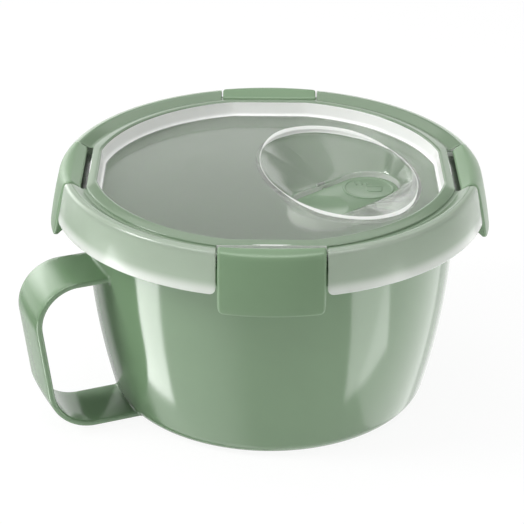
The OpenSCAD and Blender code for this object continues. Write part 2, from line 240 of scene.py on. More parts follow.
half_w = STRAP_W / 2
face_lines = [(0.0, half_w * share) for share in (-0.75, -0.5, -0.25, 0.0, 0.25, 0.5, 0.75)]
strap_loop = np.array(rounded(
    [(0, -half_w)] + face_lines + [(0, half_w), (-STRAP_T, half_w), (-STRAP_T, -half_w)],
    [STRAP_EDGE_R] + [0] * len(face_lines) + [STRAP_EDGE_R] * 3,
    closed=True,
))
strap_out = outward(strap_loop)
crown_share = (strap_loop[:, 0] + STRAP_T) / STRAP_T
strap_loop[:, 0] -= STRAP_CROWN * crown_share * (strap_loop[:, 1] / half_w) ** 2


def strap_root(height, up):
    """Rings that spread into the wall with a fillet, from inside the wall outwards."""
    rings = []
    quarter = np.linspace(0, math.pi / 2, ROOT_STEPS + 1)
    for stand in [-ROOT_DEPTH] + [ROOT_FILLET * (1 - math.cos(a)) for a in quarter]:
        grown = strap_loop + strap_out * rise_at(max(stand, 0.0), ROOT_FILLET)
        if not up:
            grown[:, 0] = np.minimum(grown[:, 0], strap_loop[:, 0] + FOOT_CLEAR)
        h = height + grown[:, 0] * (1 if up else -1)
        rings.append(np.stack([wall_x(grown[:, 1], h) + stand, grown[:, 1], h], axis=1))
    return rings


strap_side = tangent_face(UPPER_C, LOWER_C, UPPER_R - LOWER_R)
stations = [(np.array([x, STRAP_TOP]), 90.0) for x in UPPER_RUN]
for centre, radius, start, end in (
    (UPPER_C, UPPER_R, 90.0, strap_side),
    (LOWER_C, LOWER_R, strap_side, -90.0),
):
    angles = np.linspace(start, end, BEND_STEPS + 1)
    stations += list(zip(arc(centre, radius, start, end, BEND_STEPS), angles))
stations += [(np.array([x, STRAP_FOOT]), -90.0) for x in LOWER_RUN]
strap_rings = strap_root(STRAP_TOP, True)
for spot, angle in stations:
    ring = spot + strap_loop[:, :1] * heading(angle)
    strap_rings.append(np.stack([ring[:, 0], strap_loop[:, 1], ring[:, 1]], axis=1))
strap_rings += strap_root(STRAP_FOOT, False)[::-1]
fuse(bowl, new_piece("strap", [skin(strap_rings)]))

PLASTIC_IOR = 1.49
# Scale and detail of each noise, and the value that a noise lies about
CLOUD_NOISE, FLOW_NOISE, GRAIN_NOISE, MID_NOISE = (38.0, 3.0), (55.0, 1.0), (2600.0, 2.0), 0.5


def math_step(tree, operation, *values):
    """Output of a maths node fed with numbers or other outputs."""
    made = tree.nodes.new("ShaderNodeMath")
    made.operation = operation
    for socket, value in zip(made.inputs, values):
        if isinstance(value, float):
            socket.default_value = value
        else:
            tree.links.new(value, socket)
    return made.outputs["Value"]


def skin_group():
    """Moulded skin: faint clouds in the colour, uneven gloss, and a slow wave with a fine grain."""
    group = bpy.data.node_groups.new("moulded_skin", "ShaderNodeTree")
    wanted = (
        ("Colour", "INPUT", "NodeSocketColor"),
        ("Cloud", "INPUT", "NodeSocketFloat"),
        ("Gloss", "INPUT", "NodeSocketFloat"),
        ("Gloss Spread", "INPUT", "NodeSocketFloat"),
        ("Grain Share", "INPUT", "NodeSocketFloat"),
        ("Colour", "OUTPUT", "NodeSocketColor"),
        ("Roughness", "OUTPUT", "NodeSocketFloat"),
        ("Height", "OUTPUT", "NodeSocketFloat"),
    )
    for name, direction, kind in wanted:
        group.interface.new_socket(name, in_out=direction, socket_type=kind)
    nodes, links = group.nodes, group.links
    given, put = nodes.new("NodeGroupInput").outputs, nodes.new("NodeGroupOutput").inputs
    place = nodes.new("ShaderNodeTexCoord")

    def noise(scale, detail):
        made = nodes.new("ShaderNodeTexNoise")
        made.inputs["Scale"].default_value = scale
        made.inputs["Detail"].default_value = detail
        links.new(place.outputs["Object"], made.inputs["Vector"])
        return made.outputs["Fac"]

    clouds, flow, grain = noise(*CLOUD_NOISE), noise(*FLOW_NOISE), noise(*GRAIN_NOISE)
    centred = math_step(group, "SUBTRACT", clouds, MID_NOISE)
    shade = nodes.new("ShaderNodeVectorMath")
    shade.operation = "SCALE"
    links.new(given["Colour"], shade.inputs[0])
    links.new(math_step(group, "MULTIPLY_ADD", centred, given["Cloud"], 1.0), shade.inputs["Scale"])
    links.new(shade.outputs["Vector"], put["Colour"])
    uneven = math_step(group, "SUBTRACT", flow, MID_NOISE)
    rough = math_step(group, "MULTIPLY_ADD", uneven, given["Gloss Spread"], given["Gloss"])
    links.new(rough, put["Roughness"])
    fine = math_step(group, "MULTIPLY", grain, given["Grain Share"])
    links.new(math_step(group, "ADD", flow, fine), put["Height"])
    return group


moulded_skin = skin_group()


def skin_material(name, colour, cloud, gloss, spread, grain, wave, ior=PLASTIC_IOR):
    """A material whose colour, gloss and bump come from the moulded skin."""
    material = bpy.data.materials.new(name)
    material.use_nodes = True
    nodes, links = material.node_tree.nodes, material.node_tree.links
    shader = nodes["Principled BSDF"]
    surface = nodes.new("ShaderNodeGroup")
    surface.node_tree = moulded_skin
    surface.inputs["Colour"].default_value = colour
    surface.inputs["Cloud"].default_value = cloud
    surface.inputs["Gloss"].default_value = gloss
    surface.inputs["Gloss Spread"].default_value = spread
    surface.inputs["Grain Share"].default_value = grain
    bump = nodes.new("ShaderNodeBump")
    bump.inputs["Strength"].default_value = 1.0
    bump.inputs["Distance"].default_value = wave * MM
    links.new(surface.outputs["Colour"], shader.inputs["Base Color"])
    links.new(surface.outputs["Roughness"], shader.inputs["Roughness"])
    links.new(surface.outputs["Height"], bump.inputs["Height"])
    links.new(bump.outputs["Normal"], shader.inputs["Normal"])
    shader.inputs["IOR"].default_value = ior
    return material


sage_plastic = skin_material(
    "sage_plastic", SAGE, cloud=0.10, gloss=0.11, spread=0.05, grain=0.004, wave=0.04
)
dress(bowl, sage_plastic)
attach(bowl, "mug")
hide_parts("mug_body")

# The lid: one clear polypropylene moulding, milky in the skirt and polished inside and out. Its walls
# round the window and the notches, a band round the well's mouth and the pocket's outer wall are
# painted white, as painted light and painted reflection.
# A sunk window with four flats, a ring and four stretches of skirt with rounded ends,
# a bar across each notch for its clip, and an oval well that slopes down to the vent's pocket.
LID_TURN, CLIPS, LID_COUNT, LID_STEPS = -22.5, 4, 320, 5
CLIP_SPAN = 2 * math.pi / CLIPS
LID_UNDER, PLUG_R, PLUG_ROOT_R, PLUG_EDGE_R = 86.8, 67.8, 0.5, 0.6
WINDOW_R, WINDOW_FLAT, WINDOW_H, WINDOW_T = 66.4, 64.8, 86.4, 1.5
WALL_LEAN, WALL_FOOT_R, FOOT_FLATS, UNDER_FLAT = 0.4, 1.8, (4.0, 3.0), 1.4
NOTCH_X, NOTCH_FLOOR, NOTCH_HALF, NOTCH_ROOT_R = 68.5, 88.0, 19.5, 0.4
RING_R, RING_EDGE_H = math.hypot(NOTCH_X, NOTCH_HALF), 91.6
RING_TOP, RING_TOP_R, RING_EDGE_R = 92.7, 1.0, 0.5
LEDGE_R, LEDGE_EDGE_R, BLOCK_R, BLOCK_ROOT, BLOCK_LIFT = 76.2, 0.3, 76.6, 1.2, 0.4
VALLEY, HINGE = np.array([72.6, 90.9]), np.array([72.6, 90.2])
SKIRT_T, SKIRT_CORNER_R, SKIRT_END_R, SKIRT_STEPS = 1.5, 2.4, 0.45, 40
SKIRT_FILLETS = (0.2, 0.3, 0.4, 0.5, 0.5, 0.8, SHOULDER_R, 2.5, 1.0, 0.2)
BAR_R, BAR_HALF, BAR_COUNT = 0.9, 20.9, 32
CHANNEL_ROOF, CHANNEL_END, CHANNEL_OVER, CHANNEL_PAST = 89.8, 3.0, 1.0, 0.4
CHANNEL_FILLETS, CHANNEL_STEPS = (0, 0, 0, 0.5), 4
WELL_C, WELL_DIR = 27.5 * heading(199), heading(108.5)
WELL_L, WELL_W, WELL_T = 43.0, 28.0, 1.4
DISC_C, ROCKER_DIR = 40.1 * heading(197.6), heading(43.0)
ROCKER_L, ROCKER_R = 24.8, 11.6
POCKET_R, POCKET_EDGE, POCKET_FLOOR, POCKET_EDGE_R, POCKET_FLOOR_R = 12.2, 79.0, 73.0, 1.6, 1.0
PIVOT_C, PIVOT_H = DISC_C + ROCKER_DIR * ROCKER_L / 2, 76.5
BOSS_START, BOSS_END, BOSS_R = 12.7, 14.8, 2.2
BORE_START, BORE_END, BORE_R = 11.0, 13.9, 0.86
STEAM_R, STEAM_EDGE_R = 4.2, 0.25
# The step round the well's mouth is highest at the front and back, and has a small share at the sides
STEP_H, STEP_LEAN, STEP_FOOT_R, STEP_UNDER, STEP_UNDER_R = 1.6, 0.2, 0.6, 0.4, 0.5
# The third of these is the width of a white band painted on the window round the mouth: a painted
# reflection, full at the front and back and a small share at the sides.
MOUTH_EDGE_R, MOUTH_FLAT, PAINTED_BAND_W, SIDE_SHARE, SIDE_END = 0.4, 1.0, 3.0, 0.08, 0.2
SLOPE_SHARES = (0.15, 0.84, 0.92)


def left_of(way):
    return np.array([-way[1], way[0]])


WELL_SIDE, ROCKER_SIDE = left_of(WELL_DIR), left_of(ROCKER_DIR)
WELL_REACH = math.hypot(WELL_L * WELL_DIR[1], WELL_W * WELL_SIDE[1])
around = np.linspace(0, 2 * math.pi, LID_COUNT, endpoint=False)


def from_clip(angles):
    """Angle from the direction of the nearest clip."""
    return (angles + CLIP_SPAN / 2) % CLIP_SPAN - CLIP_SPAN / 2


def lid_ring(radius, flat, h):
    """A ring that is cut by four flats, one for each clip."""
    r = np.minimum(radius, flat / np.cos(from_clip(around)))
    return np.stack([r * np.cos(around), r * np.sin(around), np.full(LID_COUNT, h)], axis=1)


def round_ring(radius, h):
    return lid_ring(radius, radius, h)


def window_ring(inset, h):
    return lid_ring(WINDOW_R - inset, WINDOW_FLAT - inset, h)


# Every line of the lid's skin runs straight out from the vent's pivot to the window's edge
rays = window_ring(0, 0)[:, :2] - PIVOT_C
rays /= np.linalg.norm(rays, axis=1, keepdims=True)


def long_round(radius, h):
    """The pocket's outline: a long shape with round ends."""
    along, across, half_l = rays @ ROCKER_DIR, rays @ ROCKER_SIDE, ROCKER_L / 2
    side = radius / np.maximum(np.abs(across), TINY)
    past_middle = np.sqrt(np.maximum(radius ** 2 - (half_l * across) ** 2, 0))
    end = half_l * np.abs(along) + past_middle
    reach = np.where(side * np.abs(along) <= half_l, side, end)
    spots = PIVOT_C + rays * reach[:, None]
    return np.column_stack([spots, np.full(LID_COUNT, h)])


def mouth_reach(ways, grow):
    """Distance from the vent's pivot to the well's oval mouth along these ways."""
    size = np.array([WELL_L + grow, WELL_W + grow])
    start = np.array([(PIVOT_C - WELL_C) @ WELL_DIR, (PIVOT_C - WELL_C) @ WELL_SIDE]) / size
    step = np.stack([ways @ WELL_DIR, ways @ WELL_SIDE], axis=-1) / size
    a, b = (step * step).sum(-1), step @ start
    return (-b + np.sqrt(b * b - a * (start @ start - 1))) / a


def end_share(spots):
    """1 at the mouth's front and back, as the front and back clips lie, and little at its sides."""
    along = ((spots[..., 1] - WELL_C[1]) / WELL_REACH) ** 2
    return np.clip((along - SIDE_END) / (1 - 2 * SIDE_END), SIDE_SHARE, 1)


def oval(grow, h, drop=0.0, spread=0.0):
    """The well's mouth, dropped or spread at its front and back."""
    spots = PIVOT_C + rays * mouth_reach(rays, grow)[:, None]
    share = end_share(spots)
    return np.column_stack([spots + rays * (spread * share)[:, None], h - drop * share])


def steam_hole(h):
    return np.column_stack([DISC_C + STEAM_R * rays, np.full(LID_COUNT, h)])


pocket_in = long_round(POCKET_R, POCKET_EDGE)
well_in = oval(-STEP_LEAN, WINDOW_H, STEP_H)
window_under = WINDOW_H - WINDOW_T
lid_corners = [
    (steam_hole(POCKET_FLOOR), STEAM_EDGE_R),
    (long_round(POCKET_R, POCKET_FLOOR), POCKET_FLOOR_R),
    (pocket_in, POCKET_EDGE_R),
    *[(pocket_in + share * (well_in - pocket_in), 0) for share in SLOPE_SHARES],
    (well_in, STEP_FOOT_R),
    (oval(0, WINDOW_H), MOUTH_EDGE_R),
    (oval(0, WINDOW_H, spread=PAINTED_BAND_W / 2), 0),
    (oval(0, WINDOW_H, spread=PAINTED_BAND_W), 0),
    (oval(MOUTH_FLAT, WINDOW_H, spread=PAINTED_BAND_W), 0),
    *[(window_ring(inset, WINDOW_H), 0) for inset in FOOT_FLATS],
    (window_ring(WALL_LEAN, WINDOW_H), WALL_FOOT_R),
    (window_ring(0, RING_TOP), RING_TOP_R),
    (lid_ring(RING_R, NOTCH_X, RING_EDGE_H), RING_EDGE_R),
    (lid_ring(RING_R, NOTCH_X, NOTCH_FLOOR), NOTCH_ROOT_R),
    (round_ring(LEDGE_R, NOTCH_FLOOR), LEDGE_EDGE_R),
    (round_ring(LEDGE_R, LID_UNDER), LEDGE_EDGE_R),
    (round_ring(PLUG_R, LID_UNDER), PLUG_ROOT_R),
    (round_ring(PLUG_R, window_under), PLUG_EDGE_R),
    (round_ring(PLUG_R - UNDER_FLAT, window_under), 0),
    (oval(WELL_T + UNDER_FLAT, window_under), 0),
    (oval(WELL_T, window_under), MOUTH_EDGE_R),
    (oval(WELL_T, WINDOW_H - WELL_T - STEP_UNDER, STEP_H), STEP_UNDER_R),
    (long_round(POCKET_R + WELL_T, POCKET_EDGE - WELL_T), POCKET_EDGE_R),
    (long_round(POCKET_R + WELL_T, POCKET_FLOOR - WELL_T), POCKET_EDGE_R),
    (steam_hole(POCKET_FLOOR - WELL_T), STEAM_EDGE_R),
]
lid_rings = rounded(*zip(*lid_corners), steps=LID_STEPS, closed=True)
lid = new_piece("lid_moulding", [skin(lid_rings, joined=True)], LID_TURN)

EDGE_STEPS, CORNER_STEPS, CORNER_START = 5, 8, 0.3


def end_steps(corner_r, edge_r):
    """Distances from a piece's end at which its section changes, for its rounded edge and corner."""
    edge = [edge_r * (1 - math.cos(a)) for a in np.linspace(0, math.pi / 2, EDGE_STEPS)]
    turns = np.linspace(CORNER_START, math.pi / 2, CORNER_STEPS)
    return sorted(edge + [corner_r * (1 - math.cos(a)) for a in turns])


def skirt_section(rise):
    """Block, shoulder and skirt, cut shorter by a rise at the skirt's foot."""
    foot = SKIRT_LOW[1] + rise
    corners = [
        (RING_R - BLOCK_ROOT, LID_UNDER + BLOCK_LIFT),
        (BLOCK_R, LID_UNDER + BLOCK_LIFT),
        (BLOCK_R, CHANNEL_ROOF),
        skirt_at(CHANNEL_ROOF, SKIRT_T),
        skirt_at(foot, SKIRT_T),
        skirt_at(foot, 0),
        skirt_at(SHOULDER[1] + SHOULDER_R, 0),
        SHOULDER + (0, SHOULDER_R),
        VALLEY,
        (RING_R - BLOCK_ROOT, VALLEY[1]),
    ]
    return np.array(rounded(corners, SKIRT_FILLETS, closed=True))


def swung(section, angle):
    """A section of radius and height swung to an angle, or each point to its own."""
    r, h = section[:, 0], section[:, 1]
    return np.column_stack([r * np.cos(angle), r * np.sin(angle), h])


def past_notch(section, distance):
    """Angle from a clip's direction to this distance past its notch, for each point."""
    return np.arcsin((NOTCH_HALF + distance) / section[:, 0])


def stretch(section, clip, end, shares):
    """A section swung along from one notch to the next, ending this far short of each."""
    first = past_notch(section, end)
    run = CLIP_SPAN - 2 * first
    return [swung(section, clip * CLIP_SPAN + first + share * run) for share in shares]


def skirt_stretch(clip):
    """The skirt from one notch to the next, with rounded ends."""
    base, distances = clip * CLIP_SPAN, end_steps(SKIRT_CORNER_R, SKIRT_END_R)
    starts, ends = [], []
    for distance in distances:
        section = skirt_section(rise_at(distance, SKIRT_CORNER_R))
        section = section - outward(section) * rise_at(distance, SKIRT_END_R)
        swing = past_notch(section, distance)
        starts.append(swung(section, base + swing))
        ends.append(swung(section, base + (CLIP_SPAN - swing)))
    shares = np.linspace(0, 1, SKIRT_STEPS + 2)[1:-1]
    middle = stretch(skirt_section(0.0), clip, distances[-1], shares)
    return skin(starts + middle + ends[::-1])


fuse(lid, new_piece("skirts", [skirt_stretch(clip) for clip in range(CLIPS)], LID_TURN))


def between_clips(corners, radii, end):
    """Four stretches of one section, each ending this far short of the notches beside it."""
    section = np.array(rounded(corners, radii, CHANNEL_STEPS, closed=True))
    shares = np.linspace(0, 1, SKIRT_STEPS + 1)
    return [skin(stretch(section, clip, end, shares)) for clip in range(CLIPS)]


channel_in, channel_out = PLUG_R, BLOCK_R + CHANNEL_PAST
channel_low = LID_UNDER - CHANNEL_OVER
channel_corners = [
    (channel_in, channel_low), (channel_out, channel_low),
    (channel_out, CHANNEL_ROOF), (channel_in, CHANNEL_ROOF),
]
channel = between_clips(channel_corners, CHANNEL_FILLETS, CHANNEL_END)
fuse(lid, new_piece("channel", channel, LID_TURN), "DIFFERENCE")


def tube(start, end, radius):
    """A straight round bar as a closed skin."""
    start, end = np.asarray(start, float), np.asarray(end, float)
    along = (end - start) / np.linalg.norm(end - start)
    side = np.cross(along, (0, 0, 1))
    side = side / np.linalg.norm(side)
    up = np.cross(side, along)
    angles = np.linspace(0, 2 * math.pi, BAR_COUNT, endpoint=False)[:, None]
    ring = radius * (np.cos(angles) * side + np.sin(angles) * up)
    return skin([start + ring, end + ring])


def at_clip(clip, x, y, h):
    """A point given in a clip's own directions, outwards, sideways and up."""
    a = clip * CLIP_SPAN
    return (x * math.cos(a) - y * math.sin(a), x * math.sin(a) + y * math.cos(a), h)


def hinge_bar(clip, half_l, radius):
    """A round bar on a clip's hinge line."""
    ends = [at_clip(clip, HINGE[0], y, HINGE[1]) for y in (-half_l, half_l)]
    return tube(*ends, radius)


bars = [hinge_bar(clip, BAR_HALF, BAR_R) for clip in range(CLIPS)]
fuse(lid, new_piece("hinge_bars", bars, LID_TURN))


def across_pivot(start, end, radius):
    """A round bar on each side of the pocket, on the pivot's line."""
    made = []
    for side in (-1, 1):
        a, b = PIVOT_C + side * start * ROCKER_SIDE, PIVOT_C + side * end * ROCKER_SIDE
        made.append(tube((*a, PIVOT_H), (*b, PIVOT_H), radius))
    return made


fuse(lid, new_piece("pivot_bosses", across_pivot(BOSS_START, BOSS_END, BOSS_R), LID_TURN))
fuse(lid, new_piece("pivot_bores", across_pivot(BORE_START, BORE_END, BORE_R), LID_TURN), "DIFFERENCE")

# The wall white is painted light: it stands in for the light that the clear plastic scatters and
# reflects in its walls.
CLEAR, WALL_PAINTED_WHITE = (0.80, 0.83, 0.79, 1.0), (0.96, 0.97, 0.95, 1.0)
# The rim white is painted light and a painted reflection, for the white round the well's mouth and on
# the pocket's outer wall.
RIM_PAINTED_WHITE, HALF_MILK = (0.84, 0.86, 0.83, 1.0), (0.80, 0.82, 0.79, 1.0)
SEAL_SHOWS = (0.24, 0.33, 0.225, 1.0)
SKIRT_MILK, SKIRT_EDGE = (0.54, 0.64, 0.52, 1.0), (0.88, 0.91, 0.87, 1.0)
SKIRT_EDGE_LOW, SKIRT_EDGE_HIGH = 78.6 * MM, 82.6 * MM
CLEAR_CLOUD, CLEAR_GRAIN, CLEAR_WAVE = 0.06, 0.0005, 0.02


def eased(tree, value, low, high, out_low=0.0, out_high=1.0):
    """A value that eases from one number to another over a range."""
    made = tree.nodes.new("ShaderNodeMapRange")
    made.interpolation_type = "SMOOTHSTEP"
    tree.links.new(value, made.inputs["Value"])
    made.inputs["From Min"].default_value, made.inputs["From Max"].default_value = low, high
    made.inputs["To Min"].default_value, made.inputs["To Max"].default_value = out_low, out_high
    return made.outputs["Result"]


def see_through(name, colour, gloss, spread, transmission, shadow):
    """Moulded polypropylene that lets light through, more or less milky, with a light shadow."""
    material = skin_material(name, colour, CLEAR_CLOUD, gloss, spread, CLEAR_GRAIN, CLEAR_WAVE)
    nodes, links = material.node_tree.nodes, material.node_tree.links
    shader = nodes["Principled BSDF"]
    shader.inputs["Transmission Weight"].default_value = transmission
    path, through = nodes.new("ShaderNodeLightPath"), nodes.new("ShaderNodeBsdfTransparent")
    through.inputs["Color"].default_value = (*[shadow * part for part in colour[:3]], 1.0)
    choice = nodes.new("ShaderNodeMixShader")
    links.new(path.outputs["Is Shadow Ray"], choice.inputs["Fac"])
    links.new(shader.outputs["BSDF"], choice.inputs[1])
    links.new(through.outputs["BSDF"], choice.inputs[2])
    links.new(choice.outputs["Shader"], nodes["Material Output"].inputs["Surface"])
    return material


def free_edge(material, edge_colour, low, high):
    """Turns the colour milky below the lip, where nothing green lies behind the skirt."""
    tree = material.node_tree
    place, part = tree.nodes.new("ShaderNodeTexCoord"), tree.nodes.new("ShaderNodeSeparateXYZ")
    tree.links.new(place.outputs["Object"], part.inputs["Vector"])
    mixed = tree.nodes.new("ShaderNodeMix")
    mixed.data_type = "RGBA"
    tree.links.new(eased(tree, part.outputs["Z"], low, high), mixed.inputs["Factor"])
    mixed.inputs["A"].default_value = edge_colour
    base = tree.nodes["Principled BSDF"].inputs["Base Color"]
    tree.links.new(base.links[0].from_socket, mixed.inputs["B"])
    tree.links.new(mixed.outputs["Result"], base)


clear_plastic = see_through(
    "clear_plastic", CLEAR, gloss=0.10, spread=0.03, transmission=0.92, shadow=0.8
)
# Opaque white for the recess and notch walls: painted light, not the plastic's own colour.
wall_painted_light = see_through(
    "wall_painted_light", WALL_PAINTED_WHITE, gloss=0.2, spread=0.06, transmission=0.0, shadow=0.6
)
tinted_ring = see_through(
    "tinted_ring", SEAL_SHOWS, gloss=0.16, spread=0.06, transmission=0.15, shadow=0.5
)
milky_skirt = see_through(
    "milky_skirt", SKIRT_MILK, gloss=0.18, spread=0.06, transmission=0.35, shadow=0.6
)
half_milky = see_through(
    "half_milky", HALF_MILK, gloss=0.19, spread=0.05, transmission=0.55, shadow=0.6
)
# White for the band round the mouth, the step and the pocket's outer wall: a painted reflection and
# painted light, not the plastic's own colour.
rim_painted_light = see_through(
    "rim_painted_light", RIM_PAINTED_WHITE, gloss=0.2, spread=0.06, transmission=0.1, shadow=0.7
)
free_edge(milky_skirt, SKIRT_EDGE, SKIRT_EDGE_LOW, SKIRT_EDGE_HIGH)
dress(lid, clear_plastic, wall_painted_light, tinted_ring, milky_skirt, half_milky, rim_painted_light)
CLEAR_AT, WALL_PAINTED_AT, TINTED_AT, SKIRT_AT, HALF_AT, RIM_PAINTED_AT = range(6)
# Upward parts of a normal that divide level faces from sloping and steep ones
LEVEL, FOOT_LEVEL, STEP_STEEP, STEEP = 0.999, 0.93, 0.72, 0.55
# Where the ring's slope ends, how wide the recess wall's foot is, and how near a notch's floor counts
RING_CREST, FOOT_W, NOTCH_NEAR = 76.8, 2.3, 0.3
# Shares of the pocket's wall: its outer half starts at the first, the bosses past the second
OUTER_HALF, PAST_WALL = 0.5, 1.1
lid_c, lid_s = heading(-LID_TURN)


def well_finish(from_pivot, z, up):
    """The finish of a face of the window or the well: painted white round the mouth and on the
    pocket's outer wall, a painted reflection and painted light, and half milky on the pocket's inner
    wall.
    """
    if z > POCKET_EDGE:
        distance = np.linalg.norm(from_pivot)
        way = from_pivot / distance
        reach = mouth_reach(way, 0)
        share = end_share(PIVOT_C + way * reach)
        on_band = up > 0 and 0 < distance - reach < PAINTED_BAND_W * share
        in_step = z > WINDOW_H - STEP_H * share
        return RIM_PAINTED_AT if in_step and (abs(up) < STEP_STEEP or on_band) else CLEAR_AT
    along = np.clip(from_pivot @ ROCKER_DIR, -ROCKER_L / 2, ROCKER_L / 2)
    in_wall = (np.linalg.norm(from_pivot - ROCKER_DIR * along) - POCKET_R) / WELL_T
    if abs(up) > STEEP or in_wall > PAST_WALL:
        return CLEAR_AT
    return RIM_PAINTED_AT if in_wall > OUTER_HALF else HALF_AT


def finish_of(face):
    """The finish of a face of the lid, by where it lies and how steep it is."""
    x, y, z = (part / MM for part in face.center)
    r, up = math.hypot(x, y), face.normal.z
    spot = np.array([lid_c * x - lid_s * y, lid_s * x + lid_c * y])
    turn = from_clip(math.atan2(spot[1], spot[0]))
    to_wall = min(WINDOW_R, WINDOW_FLAT / math.cos(turn)) - r
    if to_wall > FOOT_W or z < WINDOW_H and r < PLUG_R:
        return well_finish(spot - PIVOT_C, z, up)
    # Steep faces of the recess here, and of the notches at the end, take the white wall finish, which
    # is painted light.
    if r < NOTCH_X and z < RING_TOP - RING_TOP_R:
        if up > LEVEL:
            return CLEAR_AT
        return HALF_AT if up > FOOT_LEVEL else WALL_PAINTED_AT
    beside_notch = abs(r * math.sin(turn)) > NOTCH_HALF
    if z > CHANNEL_ROOF and r < RING_CREST and (up > STEEP or beside_notch):
        return TINTED_AT
    if r > RING_CREST:
        return SKIRT_AT
    return CLEAR_AT if z < NOTCH_FLOOR + NOTCH_NEAR else WALL_PAINTED_AT


for face in lid.data.polygons:
    face.material_index = finish_of(face)
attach(lid, "lid")
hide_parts("lid_shell")

# The sealing ring: a soft green elastomer ring that the lid presses onto the bowl's rim.
# It is moulded onto the lid's underside, fills a channel there between the clips,
# and shows through the clear ring above it.
SEAL_IN, SEAL_OUT, SEAL_LOW, SEAL_CUT_W, SEAL_CUT_H = 69.2, 75.4, 84.8, 1.4, 0.4
SEAL_GAP, SEAL_BOND = 0.3, 0.05
SEAL_FILLETS, FILL_FILLETS = (0.1, 0.4, 0.5, 0.5, 0.4, 0.1), (0.4, 0.6, 0.3, 0.5)
RUBBER, RUBBER_IOR = (0.165, 0.26, 0.15, 1.0), 1.43
seal_corners = [
    (SEAL_IN, LID_UNDER), (SEAL_IN, SEAL_LOW + SEAL_CUT_H), (SEAL_IN + SEAL_CUT_W, SEAL_LOW),
    (SEAL_OUT - SEAL_CUT_W, SEAL_LOW), (SEAL_OUT, SEAL_LOW + SEAL_CUT_H), (SEAL_OUT, LID_UNDER),
]
seal_profile = rounded(seal_corners, SEAL_FILLETS, closed=True)
seal = new_piece("seal_ring", [turned(seal_profile, joined=True)])
fill_in, fill_top = PLUG_R + SEAL_GAP, CHANNEL_ROOF + SEAL_BOND
fill_corners = [
    (fill_in, SEAL_LOW), skirt_at(SEAL_LOW, SKIRT_T + SEAL_GAP),
    skirt_at(fill_top, SKIRT_T + SEAL_GAP), (fill_in, fill_top),
]
channel_fill = between_clips(fill_corners, FILL_FILLETS, CHANNEL_END + SEAL_GAP)
fuse(seal, new_piece("channel_fill", channel_fill, LID_TURN))
seal_rubber = skin_material(
    "seal_rubber", RUBBER, cloud=0.12, gloss=0.46, spread=0.12, grain=0.05, wave=0.04, ior=RUBBER_IOR
)
dress(seal, seal_rubber)
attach(seal, "lid")
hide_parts("lid_seal")

# The four clips: sage-green flaps like the bowl, each moulded with a knuckle that snaps on a bar
# of the lid. The face is softly crowned, its edges rounded, and a hook at the foot grips the lip.
CLIP_W, CLIP_T, CLIP_PROUD, CLIP_LOW, CLIP_STEPS = 38.0, 2.2, 0.6, 70.9, 32
CLIP_EDGE_R, CLIP_CORNER_R, CLIP_BULGE = 1.0, 2.2, 0.25
CLIP_SIDE_FALL, CLIP_SIDE_POWER = 0.35, 3
KNUCKLE_R, KNUCKLE_BORE_R, KNUCKLE_EDGE = 1.8, 0.96, 0.3
HOOK_REACH, HOOK_TIP, HOOK_GAP, HOOK_FOOT = 2.6, 1.2, 0.45, 0.45
HOOK_FILLETS = (0.3, 0.4, 0.5, 0.7, 1.2)
FLAP_START, FACE_INSET, FACE_BLEND = 1.2, 0.4, 0.8
KNUCKLE_STEPS, FACE_STEPS, CROWN_STEPS, HOOK_STEPS = 30, 8, 14, 8
CLIP_IN, CROWN_R = CLIP_T - CLIP_PROUD, SHOULDER_R + CLIP_PROUD
hook_swing = np.linalg.norm(lip_out - HINGE) + HOOK_GAP


def below_hinge(r):
    """A point on the ring round the hinge on which the hook's top lies."""
    return np.array([r, HINGE[1] - math.sqrt(hook_swing ** 2 - (r - HINGE[0]) ** 2)])


crown_face = tangent_face(HINGE, SHOULDER, KNUCKLE_R - CROWN_R)
knuckle_top = HINGE + KNUCKLE_R * heading(crown_face)
clip_under = SHOULDER[1] + SHOULDER_R - CLIP_IN
knuckle_end = math.degrees(math.asin((clip_under - HINGE[1]) / KNUCKLE_R)) + 360


def clip_section(rise):
    """Section of a clip through its middle, its foot raised by a rise."""
    foot = CLIP_LOW + rise
    knuckle = arc(HINGE, KNUCKLE_R, crown_face, knuckle_end, KNUCKLE_STEPS)
    crown = arc(SHOULDER, CROWN_R, SKIRT_FACE, crown_face, CROWN_STEPS)
    low, high = skirt_at(foot, -CLIP_PROUD), crown[0]
    bulge = 4 * CLIP_BULGE * heading(SKIRT_FACE)
    shares = np.linspace(0, 1, FACE_STEPS + 1)[1:-1]
    face = [low + s * (high - low) + s * (1 - s) * bulge for s in shares]
    hook_top = below_hinge(lip_out[0] - HOOK_REACH)
    corners = [
        knuckle[-1],
        skirt_at(clip_under, CLIP_IN),
        below_hinge(skirt_at(lip_out[1], CLIP_IN)[0]),
        hook_top,
        hook_top - (0, HOOK_TIP),
        skirt_at(foot, CLIP_IN) + (HOOK_FOOT, 0),
        low,
        *face,
    ]
    radii = [0, SHOULDER_R - CLIP_IN, *HOOK_FILLETS, *[0] * len(face)]
    rest = rounded(corners, radii, HOOK_STEPS)[1:]
    return np.array(knuckle + rest + crown[:-1])


